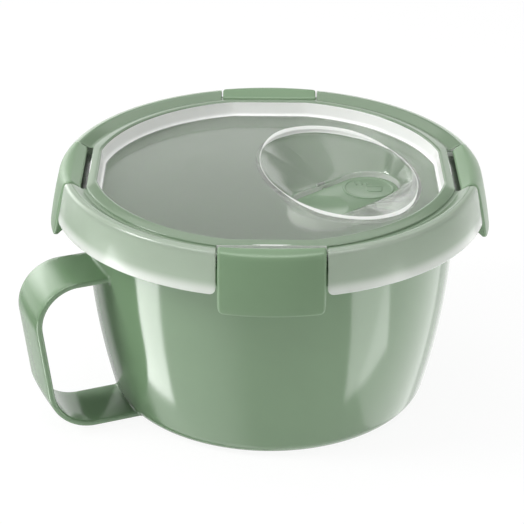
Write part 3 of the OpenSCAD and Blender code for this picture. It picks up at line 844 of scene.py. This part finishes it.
def clip_skin(clip):
    """A clip's skin: its section from end to end, wrapped round the lid and crowned on its face."""
    half = CLIP_W / 2
    ends = end_steps(CLIP_CORNER_R, CLIP_EDGE_R)
    places = [(-half + d, d) for d in ends]
    places += [(y, half) for y in np.linspace(-half + ends[-1], half - ends[-1], CLIP_STEPS)[1:-1]]
    places += [(half - d, d) for d in ends[::-1]]
    flap_from, flap_run = knuckle_top[0] + FLAP_START, SHOULDER[0] - knuckle_top[0]
    rings = []
    for y, distance in places:
        section = clip_section(rise_at(distance, CLIP_CORNER_R))
        on_flap = np.clip((section[:, 0] - flap_from) / flap_run, 0, 1)
        on_flap[:KNUCKLE_STEPS + 1] = 0
        edge = rise_at(distance, CLIP_EDGE_R) * np.where(on_flap > 0, 1.0, KNUCKLE_EDGE)
        section = section - outward(section) * edge[:, None]
        r, h = section[:, 0], section[:, 1]
        on_face = on_flap * np.clip((r - skirt_at(h, FACE_INSET)[0]) / FACE_BLEND, 0, 1)
        x = r - on_flap * (r - np.sqrt(r ** 2 - y * y))
        x = x - on_face * CLIP_SIDE_FALL * abs(y / half) ** CLIP_SIDE_POWER
        rings.append(np.array([at_clip(clip, px, y, ph) for px, ph in zip(x, h)]))
    return skin(rings)


satin_sage = skin_material(
    "satin_sage", SAGE, cloud=0.10, gloss=0.34, spread=0.08, grain=0.02, wave=0.05
)
for place, side in enumerate(("left", "front", "right", "back")):
    flap = new_piece(f"clip_{side}_flap", [clip_skin(place)], LID_TURN)
    bore = hinge_bar(place, CLIP_W, KNUCKLE_BORE_R)
    fuse(flap, new_piece("knuckle_bore", [bore], LID_TURN), "DIFFERENCE")
    dress(flap, satin_sage)
    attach(flap, f"clip_{side}")
    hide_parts(f"clip_{side}")

# The vent rocker: a sage-green plate on two pins in the pocket's walls.
# One end is a raised disc with moulded marks, the other a hollow for a fingertip.
ROCKER_TOP, ROCKER_T, ROCKER_CORE_R, ROCKER_STEPS = 77.4, 1.8, 2.0, 5
PLATE_FILLETS = (0, 0.4, 0.5, 0)
DISH_BALL_R, DISH_DEPTH, DISH_START, DISH_STEPS, DISH_TURNS = 60.0, 0.8, -89.6, 16, 96
CUT_PAST, CUT_OVER = 0.4, 1.0
DISC_R, DISC_H, DISC_ROOT, DISC_POLE_R, DISC_STEPS, DISC_TURNS = 10.0, 0.5, 1.0, 0.5, 4, 128
BEAD_TOP_W, BEAD_FOOT_W, DISC_FILLETS = 0.9, 1.2, (0, 0, 0.4, 0.35, 0.15, 0)
PIN_R, PIN_ROOT, PIN_END = 0.8, 1.0, 13.3
MARK_DEPTH, MARK_R, MARK_COUNT, MARK_TIP = 0.3, 0.25, 10, 0.35
# The rocker's sage is greyer than the bowl's: a painted sheen, for the white veil of reflection on the
# plate in the bright well.
ROCKER_SAGE_PAINTED_SHEEN = (0.21, 0.30, 0.20, 1.0)
rocker_low, disc_top = ROCKER_TOP - ROCKER_T, ROCKER_TOP + DISC_H
plate_corners = [
    long_round(ROCKER_CORE_R, rocker_low), long_round(ROCKER_R, rocker_low),
    long_round(ROCKER_R, ROCKER_TOP), long_round(ROCKER_CORE_R, ROCKER_TOP),
]
plate_rings = rounded(plate_corners, PLATE_FILLETS, ROCKER_STEPS)
rocker = new_piece("rocker_plate", [skin(plate_rings)], LID_TURN)
dish_edge = math.sqrt(DISH_BALL_R ** 2 - (DISH_BALL_R - DISH_DEPTH) ** 2)
dish_end = -90 + math.degrees(math.asin(dish_edge / DISH_BALL_R))
dish_ball = (0, DISH_BALL_R + ROCKER_TOP - DISH_DEPTH)
dish_line = arc(dish_ball, DISH_BALL_R, DISH_START, dish_end, DISH_STEPS)
dish_line += [dish_line[-1] + (CUT_PAST, CUT_OVER), (CUT_PAST, ROCKER_TOP + CUT_OVER)]
dish_c = DISC_C + ROCKER_DIR * ROCKER_L
dish = turned(dish_line, DISH_TURNS, dish_c)
fuse(rocker, new_piece("dish", [dish], LID_TURN), "DIFFERENCE")
disc_corners = [
    (DISC_POLE_R, ROCKER_TOP - DISC_ROOT), (DISC_R, ROCKER_TOP - DISC_ROOT), (DISC_R, disc_top),
    (DISC_R - BEAD_TOP_W, disc_top), (DISC_R - BEAD_FOOT_W, disc_top - MARK_DEPTH),
    (DISC_POLE_R, disc_top - MARK_DEPTH),
]
disc = turned(rounded(disc_corners, DISC_FILLETS, DISC_STEPS), DISC_TURNS, DISC_C)
fuse(rocker, new_piece("disc", [disc], LID_TURN))
fuse(rocker, new_piece("pins", across_pivot(ROCKER_R - PIN_ROOT, PIN_END, PIN_R), LID_TURN))

# The marks stand upright for someone who faces the front clip: a cup with three wisps of steam
MARK_UP = heading(-90)
MARK_RIGHT = -left_of(MARK_UP)
CUP = [(-0.8, 1.6), (-0.3, -3.4), (4.9, -3.4), (5.4, 1.6)]
CUP_FILLETS = (0, 1.2, 1.2, 0)
BRIM = [(-1.4, 1.6), (1.0, 1.6), (3.6, 1.6), (6.0, 1.6)]
WISP_STARTS, WISP_SWAY, WISP_WAVE = (-4.8, -2.6, -0.4), 0.35, 2.2
WISP_HEIGHTS = np.linspace(2.6, 5.4, 9)


def ridge(spots):
    """A fine raised line along points on the disc, half sunk in its face."""
    spots = [DISC_C + x * MARK_RIGHT + y * MARK_UP for x, y in spots]
    spots = np.array([(*spot, disc_top - MARK_DEPTH) for spot in spots])
    ahead = np.gradient(spots, axis=0)
    side = np.stack([-ahead[:, 1], ahead[:, 0]], axis=1)
    side /= np.linalg.norm(side, axis=1, keepdims=True)
    angles = np.linspace(0, 2 * math.pi, MARK_COUNT, endpoint=False)
    rings = []
    for i, (spot, across) in enumerate(zip(spots, side)):
        size = MARK_R * (MARK_TIP if i in (0, len(spots) - 1) else 1.0)
        flat = np.outer(np.cos(angles) * size, across)
        rings.append(spot + np.column_stack([flat, np.sin(angles) * size]))
    return skin(rings)


marks = [rounded(CUP, CUP_FILLETS), BRIM]
for start in WISP_STARTS:
    marks.append([(start + WISP_SWAY * math.sin(WISP_WAVE * h), h) for h in WISP_HEIGHTS])
for line in marks:
    fuse(rocker, new_piece("mark", [ridge(line)], LID_TURN))
rocker_painted_sheen_sage = skin_material(
    "rocker_painted_sheen_sage", ROCKER_SAGE_PAINTED_SHEEN, cloud=0.10, gloss=0.2, spread=0.05, grain=0.004, wave=0.04
)
dress(rocker, rocker_painted_sheen_sage)
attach(rocker, "vent")
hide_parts("vent_rocker")

# The vent seal: a small elastomer stopper under the rocker's disc that closes the steam hole.
# Its flange is held to the plate and its plug reaches into the hole.
FLANGE_R, FLANGE_LOW, FLANGE_TOP = 7.5, 73.3, 75.6
STOPPER_R, STOPPER_LOW, STOPPER_POLE_R, STOPPER_STEPS, STOPPER_TURNS = 3.0, 72.1, 0.5, 4, 96
STOPPER_FILLETS = (0, 0.4, 0.3, 0.6, 0.3, 0)
stopper_corners = [
    (STOPPER_POLE_R, STOPPER_LOW), (STOPPER_R, STOPPER_LOW), (STOPPER_R, FLANGE_LOW),
    (FLANGE_R, FLANGE_LOW), (FLANGE_R, FLANGE_TOP), (STOPPER_POLE_R, FLANGE_TOP),
]
stopper_line = rounded(stopper_corners, STOPPER_FILLETS, STOPPER_STEPS)
stopper = new_piece("vent_stopper", [turned(stopper_line, STOPPER_TURNS, DISC_C)], LID_TURN)
dress(stopper, seal_rubber)
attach(stopper, "vent")
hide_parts("vent_seal")

# The photo stand: a plain white floor that keeps a soft shadow, a white surround,
# soft boxes above and at both sides, and the camera in front of one clip, above the rim.
WHITE, FLOOR_WHITE, FLOOR_ROUGH = (1, 1, 1, 1), (0.92, 0.92, 0.92, 1), 0.9
FLOOR_HALF, FLOOR_DROP, WHITE_SHARE, FLOOR_GLOW = 4.0, 0.0003, 0.88, 0.25
SEEN_DIRECTLY = ("Is Camera Ray", "Is Transmission Ray")
scene = bpy.context.scene
scene.view_settings.view_transform = "Standard"
floor_mesh = bpy.data.meshes.new("floor")
floor_corners = [(-1, -1), (1, -1), (1, 1), (-1, 1)]
floor_mesh.from_pydata(
    [(x * FLOOR_HALF, y * FLOOR_HALF, -FLOOR_DROP) for x, y in floor_corners], [], [(0, 1, 2, 3)]
)
floor = bpy.data.objects.new("floor", floor_mesh)
scene.collection.objects.link(floor)
floor_paint = bpy.data.materials.new("floor_paint")
floor_paint.use_nodes = True
floor_tree = floor_paint.node_tree
matt = floor_tree.nodes["Principled BSDF"]
matt.inputs["Base Color"].default_value = FLOOR_WHITE
matt.inputs["Roughness"].default_value = FLOOR_ROUGH
matt.inputs["Emission Color"].default_value = WHITE
matt.inputs["Emission Strength"].default_value = FLOOR_GLOW
glow = floor_tree.nodes.new("ShaderNodeEmission")
glow.inputs["Color"].default_value = WHITE


def any_ray(tree, names):
    """1 for a ray of one of these kinds, 0 for any other."""
    seen = tree.nodes.new("ShaderNodeLightPath").outputs
    found = seen[names[0]]
    for name in names[1:]:
        found = math_step(tree, "MAXIMUM", found, seen[name])
    return found


def mixed_shader(tree, share, first, second):
    """Two shaders mixed by a share of the second."""
    made = tree.nodes.new("ShaderNodeMixShader")
    tree.links.new(share, made.inputs["Fac"])
    tree.links.new(first.outputs[0], made.inputs[1])
    tree.links.new(second.outputs[0], made.inputs[2])
    return made


white_share = math_step(floor_tree, "MULTIPLY", any_ray(floor_tree, SEEN_DIRECTLY), WHITE_SHARE)
floor_shader = mixed_shader(floor_tree, white_share, matt, glow)
floor_tree.links.new(floor_shader.outputs[0], floor_tree.nodes["Material Output"].inputs["Surface"])
floor_mesh.materials.append(floor_paint)
floor.visible_glossy = False

CAMERA_BACK = np.array([0.3490, 0.8262, 0.4425])
CAMERA_RIGHT = np.array([-0.9212, 0.3891, 0.0])
CAMERA_ROLL, CAMERA_LENS, SENSOR_W = math.radians(0.52), 141.97, 36.0
CAMERA_SPOT, CLIP_START, CLIP_END = (0.2826, 0.6616, 0.4062), 0.01, 50.0
AIM_H, POWER_PER_AREA, BOX_MIDDLE = 0.05, 4, (0.5, 0.5, 0.0)
camera_side = math.degrees(math.atan2(CAMERA_BACK[1], CAMERA_BACK[0]))


def soft_box(name, turn, lift, wide, high, radiance, distance=1.0, roll=0.0, lights=False):
    """A soft box that faces the mug: turn is from the camera to its right, lift above the table.
    One that doesn't light the pieces only shows in gloss, as a reflecting card does."""
    level, rise = heading(lift)
    out = np.array([*(level * heading(camera_side + turn)), rise])
    lamp = bpy.data.lights.new(name, "AREA")
    lamp.shape, lamp.size, lamp.size_y = "RECTANGLE", wide, high
    lamp.energy = radiance * POWER_PER_AREA * wide * high
    box = bpy.data.objects.new(name, lamp)
    scene.collection.objects.link(box)
    box.location = tuple(out * distance + (0, 0, AIM_H))
    box.rotation_mode = "QUATERNION"
    facing = Vector(-out).to_track_quat("-Z", "Y")
    box.rotation_quaternion = facing @ Quaternion((0, 0, 1), math.radians(roll))
    box.visible_diffuse = box.visible_transmission = lights
    return lamp


def vector_step(tree, operation, vector, other=None):
    """Output of a vector maths node, a number for a length or a dot product."""
    made = tree.nodes.new("ShaderNodeVectorMath")
    made.operation = operation
    tree.links.new(vector, made.inputs[0])
    if other is not None:
        made.inputs[1].default_value = tuple(other)
    return made.outputs["Value" if operation in ("LENGTH", "DOT_PRODUCT") else "Vector"]


def hot_middle(lamp, full, none):
    """Lets a soft box fade from its middle to its edges, as one with an inner baffle does."""
    lamp.use_nodes = True
    tree = lamp.node_tree
    place = tree.nodes.new("ShaderNodeNewGeometry").outputs["Parametric"]
    off_middle = vector_step(tree, "LENGTH", vector_step(tree, "SUBTRACT", place, BOX_MIDDLE))
    fade = eased(tree, off_middle, full, none, 1.0, 0.0)
    tree.links.new(fade, tree.nodes["Emission"].inputs["Strength"])


soft_box("soft_box_top", 180, 86, 1.6, 1.6, radiance=0.98, distance=0.85, lights=True)
left_box = soft_box("soft_box_left", -77, 35, 0.46, 0.5, radiance=12.2, distance=0.9, lights=True)
hot_middle(left_box, full=0.2, none=0.5)
soft_box("soft_box_right", 60, 20, 0.7, 0.6, radiance=0.8, distance=0.9, lights=True)
soft_box("card_left", -83, -28, 0.36, 0.62, radiance=5.6, roll=-18)
soft_box("card_right", 64, -27, 0.4, 0.62, radiance=2.6, roll=24)
soft_box("card_far", 104, -34, 1.0, 0.6, radiance=0.9)
rear_card = soft_box("card_rear", -133, 22, 1.0, 0.9, radiance=2.7)
hot_middle(rear_card, full=0.05, none=0.5)
soft_box("card_over", 0, 62, 1.6, 0.2, radiance=6.0)

# In gloss the surround is a lit table, which is brighter on the handle's side, dark behind the
# handle and dim further back, and a sweep that ends above the rim. Anything else sees a faint fill.
FILL, SWEEP, TABLE_LIGHT, TABLE_BRIGHT = 0.05, 1.55, 1.3, 2.1
BRIGHT_SIDE, HANDLE_SHADE, DIM_SIDE = -62, -122, -160
SHADE_SHARE, DIM_SHARE = 0.1 / TABLE_LIGHT, 0.6
# Cosines from a side's middle between which its effect comes in
BRIGHT_RANGE, SHADE_RANGE, DIM_RANGE = (0.6, 0.96), (0.94, 0.99), (0.8, 0.96)
BACKDROP_RANGE = (0.2, 0.7)
# Heights, as sines of the angle above the table, where the backdrop ends and the table gives way
BACKDROP_TOP, TABLE_END = (0.33, 0.38), (-0.34, -0.1)
SWEEP_TONES = (
    (-90, 0.15), (8, 0.15), (18, 1.0), (21.5, 1.0), (23.8, 0.45), (25.6, 0.12), (28, 0.08), (90, 0.08)
)
world = bpy.data.worlds.new("surround")
scene.world = world
world.use_nodes = True
room = world.node_tree
ray = room.nodes.new("ShaderNodeTexCoord").outputs["Generated"]
part = room.nodes.new("ShaderNodeSeparateXYZ")
room.links.new(ray, part.inputs["Vector"])
ray_level = vector_step(room, "NORMALIZE", vector_step(room, "MULTIPLY", ray, (1, 1, 0)))


def toward(turn):
    """Cosine between a ray's compass direction and a turn from the camera to its right."""
    return vector_step(room, "DOT_PRODUCT", ray_level, (*heading(camera_side + turn), 0))


bright = eased(room, toward(BRIGHT_SIDE), *BRIGHT_RANGE, TABLE_LIGHT, TABLE_BRIGHT)
shade = eased(room, toward(HANDLE_SHADE), *SHADE_RANGE, 1.0, SHADE_SHARE)
dim = eased(room, toward(DIM_SIDE), *DIM_RANGE, 1.0, DIM_SHARE)
table = math_step(room, "MULTIPLY", math_step(room, "MULTIPLY", bright, shade), dim)
tones = room.nodes.new("ShaderNodeValToRGB")
room.links.new(math_step(room, "MULTIPLY_ADD", part.outputs["Z"], 0.5, 0.5), tones.inputs["Fac"])
stops = [((heading(angle)[1] + 1) / 2, (tone, tone, tone, 1)) for angle, tone in SWEEP_TONES]
ramp = tones.color_ramp.elements
ramp[0].position, ramp[0].color = stops[0]
ramp[1].position, ramp[1].color = stops[-1]
for position, colour in stops[1:-1]:
    ramp.new(position).color = colour
behind = eased(room, toward(180), *BACKDROP_RANGE)
below_top = eased(room, part.outputs["Z"], *BACKDROP_TOP, 1.0, 0.0)
backdrop = math_step(room, "MULTIPLY", behind, below_top)
fill = room.nodes["Background"]
white, sweep, board = (room.nodes.new("ShaderNodeBackground") for _ in range(3))
for light in (fill, white, board):
    light.inputs["Color"].default_value = WHITE
fill.inputs["Strength"].default_value = FILL
sweep.inputs["Strength"].default_value = SWEEP
room.links.new(math_step(room, "MAXIMUM", tones.outputs["Color"], backdrop), sweep.inputs["Color"])
room.links.new(table, board.inputs["Strength"])
glossy = mixed_shader(room, eased(room, part.outputs["Z"], *TABLE_END), board, sweep)
lit = mixed_shader(room, any_ray(room, ("Is Glossy Ray",)), fill, glossy)
seen = mixed_shader(room, any_ray(room, SEEN_DIRECTLY), lit, white)
room.links.new(seen.outputs[0], room.nodes["World Output"].inputs["Surface"])

lens = bpy.data.cameras.new("photo_camera")
lens.lens, lens.sensor_width = CAMERA_LENS, SENSOR_W
lens.clip_start, lens.clip_end = CLIP_START, CLIP_END
camera = bpy.data.objects.new("photo_camera", lens)
scene.collection.objects.link(camera)
back = CAMERA_BACK / np.linalg.norm(CAMERA_BACK)
right = CAMERA_RIGHT / np.linalg.norm(CAMERA_RIGHT)
rolled = math.cos(CAMERA_ROLL) * right + math.sin(CAMERA_ROLL) * np.cross(back, right)
axes = np.column_stack([rolled, np.cross(back, rolled), back, CAMERA_SPOT])
camera.matrix_world = Matrix((*axes.tolist(), (0, 0, 0, 1)))
scene.camera = camera
